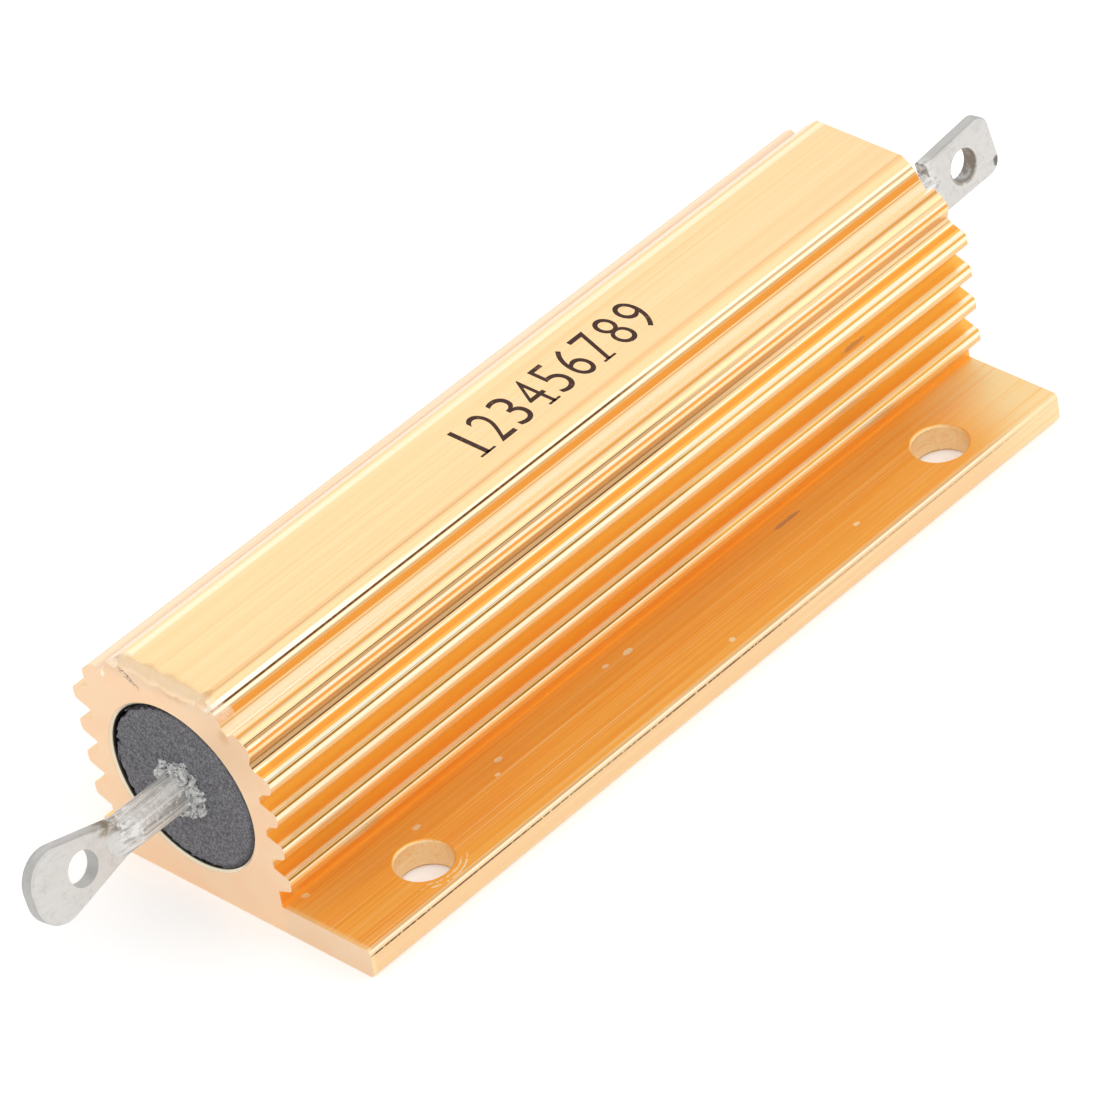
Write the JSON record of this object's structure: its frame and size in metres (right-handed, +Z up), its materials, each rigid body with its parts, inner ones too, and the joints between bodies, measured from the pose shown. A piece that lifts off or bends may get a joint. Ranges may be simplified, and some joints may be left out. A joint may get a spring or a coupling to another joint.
{
  "type": "aluminium housed resistor",
  "caption": "Power resistor in a finned aluminium extrusion with a side mounting flange and a flattened wire lug at each end.",
  "frame": {"origin": "on the flat base, under the axis of the bore, at mid length of the housing", "axes": "+Z up from the base, +Y along the housing from the front lug to the rear lug, +X towards the mounting flange"},
  "size_m": [0.0323, 0.1245, 0.0235],
  "materials": {
    "anodised_housing": "satin gold anodised extrusion",
    "cement": "matt granular compound",
    "core_ceramic": "matt",
    "resistance_alloy": "bare wire",
    "cap_steel": "pressed steel",
    "tinned_lead": "tinned, dull",
    "root_crust": "rough crust"
  },
  "bodies": {
    "root": {"housing": "anodised_housing", "cement_filling": "cement", "ceramic_core": "core_ceramic", "resistance_wire": "resistance_alloy", "front_end_cap": "cap_steel", "rear_end_cap": "cap_steel", "front_terminal": "tinned_lead", "rear_terminal": "tinned_lead", "front_root_bead": "root_crust", "rear_root_bead": "root_crust"}
  },
  "joints": []
}
